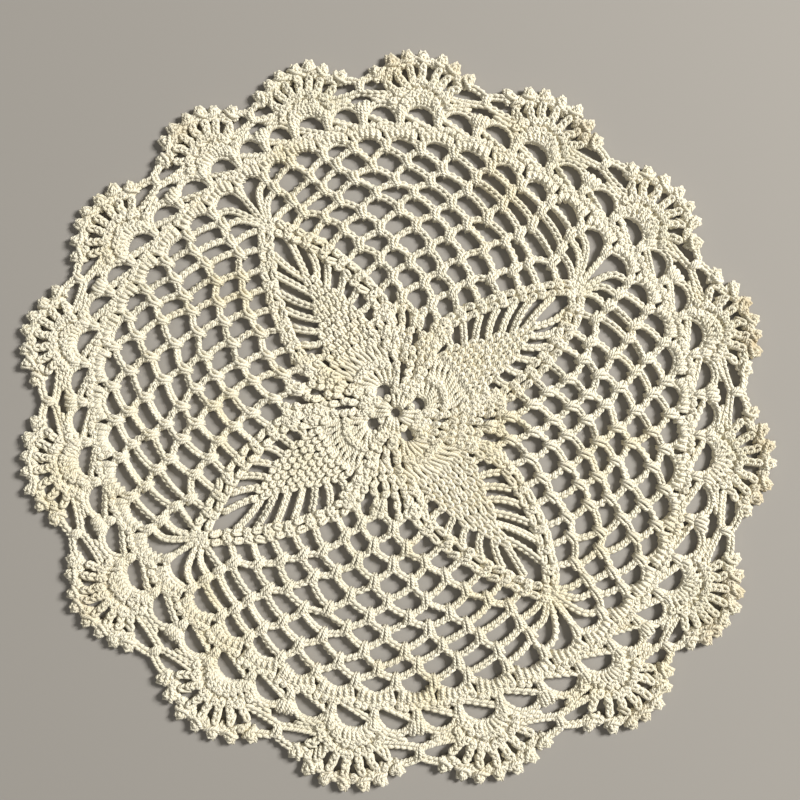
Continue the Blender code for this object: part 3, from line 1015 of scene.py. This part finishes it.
def cream_cotton():
    """Mercerised three-ply cotton in natural cream: a soft lustre, warmer and paler patches,
    flecked tan stains where it has aged, and the grooves of its twisted plies: a sine of the
    place along and around the thread, which winds round it."""
    material, shader = new_material("cream_mercerised_cotton")
    links = material.node_tree.links
    where = add(material, "ShaderNodeTexCoord")
    thread_map = add(material, "ShaderNodeUVMap", {"uv_map": "thread"})
    patches = add(
        material, "ShaderNodeTexNoise", inputs={"Scale": 1.0 / (PATCH * MM), "Detail": 2.0},
        Vector=where.outputs["Object"],
    )
    cream = add(material, "ShaderNodeValToRGB", Fac=patches.outputs["Fac"])
    cream.color_ramp.elements.new(0.5)
    for shade, (position, colour) in zip(cream.color_ramp.elements, CREAMS):
        shade.position = position
        shade.color = linear(colour)
    flecks = add(
        material, "ShaderNodeTexNoise", inputs={"Scale": 1.0 / (FLECK * MM), "Detail": 2.0},
        Vector=where.outputs["Object"],
    )
    stain = add(material, "ShaderNodeAttribute", {"attribute_name": "age"})
    amount = add(material, "ShaderNodeMath", {"operation": "MULTIPLY", "use_clamp": True})
    links.new(stain.outputs["Fac"], amount.inputs[0])
    links.new(flecks.outputs["Fac"], amount.inputs[1])
    tan = add(
        material, "ShaderNodeMixRGB", inputs={"Color2": linear(STAIN_TAN)},
        Fac=amount.outputs[0], Color1=cream.outputs["Color"],
    )
    spread = add(
        material, "ShaderNodeMapping", inputs={"Scale": (1.0 / LAY, 1.0, 1.0)},
        Vector=thread_map.outputs["UV"],
    )
    axes = add(material, "ShaderNodeSeparateXYZ", Vector=spread.outputs["Vector"])
    twist = add(material, "ShaderNodeMath", {"operation": "ADD"})
    links.new(axes.outputs["X"], twist.inputs[0])
    links.new(axes.outputs["Y"], twist.inputs[1])
    plies = add(material, "ShaderNodeMath", {"operation": "MULTIPLY"}, {1: PLIES * 2.0 * math.pi})
    links.new(twist.outputs[0], plies.inputs[0])
    wave = add(material, "ShaderNodeMath", {"operation": "SINE"})
    links.new(plies.outputs[0], wave.inputs[0])
    bump = add(
        material, "ShaderNodeBump", inputs={"Strength": 0.5, "Distance": PLY_DEPTH * MM},
        Height=wave.outputs[0],
    )
    links.new(bump.outputs["Normal"], shader.inputs["Normal"])
    links.new(tan.outputs["Color"], shader.inputs["Base Color"])
    shader.inputs["Roughness"].default_value = 0.7
    shader.inputs["IOR"].default_value = 1.5
    shader.inputs["Sheen Weight"].default_value = 0.15
    shader.inputs["Sheen Roughness"].default_value = 0.5
    return material


def studio_paper():
    """Matte seamless paper: plain, pale and without gloss."""
    material, shader = new_material("matte_studio_paper")
    shader.inputs["Base Color"].default_value = linear("#98938B")
    shader.inputs["Roughness"].default_value = 0.95
    return material


# ---------------------------------------------------------------- stage
FLOOR_HALF = 1.5
LIGHTS = (                      # name, place, width and power, in metres and watts
    ("key", (1.50, 0.60, 1.24), 0.52, 68.0),
    ("fill", (-0.6, -0.5, 1.0), 0.9, 2.2),
)
SKY_STRENGTH = 0.17
VIEW_DISTANCE = 0.320           # from the ring to the camera
VIEW_TILT = 0.058               # sine of its lean from the vertical
VIEW_ASIDE = (0.0017, 0.0048)   # where its axis meets the table, from the ring
VIEW_HALF = 0.46296             # half the width that it sees, as a part of the distance


def stage():
    """A plain pale table and soft studio light, most of it from the right."""
    half = FLOOR_HALF
    corners = [(-half, -half, 0.0), (half, -half, 0.0), (half, half, 0.0), (-half, half, 0.0)]
    mesh = bpy.data.meshes.new("floor")
    mesh.from_pydata(corners, [], [(0, 1, 2, 3)])
    mesh.materials.append(studio_paper())
    floor = bpy.data.objects.new("floor", mesh)
    bpy.context.scene.collection.objects.link(floor)
    for light in LIGHTS:
        add_light(*light)
    world = bpy.data.worlds.new("studio")
    bpy.context.scene.world = world
    world.use_nodes = True
    sky = world.node_tree.nodes["Background"]
    sky.inputs["Color"].default_value = (1.0, 0.98, 0.94, 1.0)
    sky.inputs["Strength"].default_value = SKY_STRENGTH
    bpy.context.scene.view_settings.view_transform = "Standard"


def add_light(name, spot, size, power):
    """A square soft light aimed at the doily's middle."""
    data = bpy.data.lights.new(name, "AREA")
    data.size = size
    data.energy = power
    lamp = bpy.data.objects.new(name, data)
    lamp.location = spot
    lamp.rotation_euler = (-Vector(spot)).to_track_quat("-Z", "Y").to_euler()
    bpy.context.scene.collection.objects.link(lamp)


def camera():
    """The camera, nearly straight above, with the near edge at the bottom."""
    data = bpy.data.cameras.new("camera")
    data.sensor_width = 36.0
    data.angle = 2.0 * math.atan(VIEW_HALF)
    thing = bpy.data.objects.new("camera", data)
    lean = math.asin(VIEW_TILT)
    x = RING_X * MM + VIEW_ASIDE[0]
    y = RING_Y * MM + VIEW_ASIDE[1]
    thing.location = (x, y - VIEW_DISTANCE * math.sin(lean), VIEW_DISTANCE * math.cos(lean))
    thing.rotation_euler = (lean, 0.0, 0.0)
    bpy.context.scene.collection.objects.link(thing)
    bpy.context.scene.camera = thing


def main():
    """The lace in six pieces of thread that ride the mat as one laid sheet, on its stage."""
    cotton = cream_cotton()
    quarters = range(QUARTERS)
    close = centre()
    close += [group for axis in quarters for group in leaf(axis)]
    bands = [group for axis in quarters for group in leaf_cords(axis) + leaf_bands(axis)]
    bands += axis_chains()
    edging = [group for fan in range(len(FANS)) for group in fan_of(fan)]
    links = [group for fan in range(len(FANS)) for group in fan_links(fan)]
    pieces = {
        "centre_and_leaves": close,
        "leaf_bands": bands,
        "chain_net": net(1, LAST_NET_ROUND),
        "block_and_arch_rounds": block_round() + arch_round(),
        "fan_edging": edging,
        "links_between_fans": links,
    }
    for name, groups in pieces.items():
        piece = thread_piece(name, groups, cotton)
        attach(piece, "root")
    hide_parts("doily")
    stage()
    camera()


main()
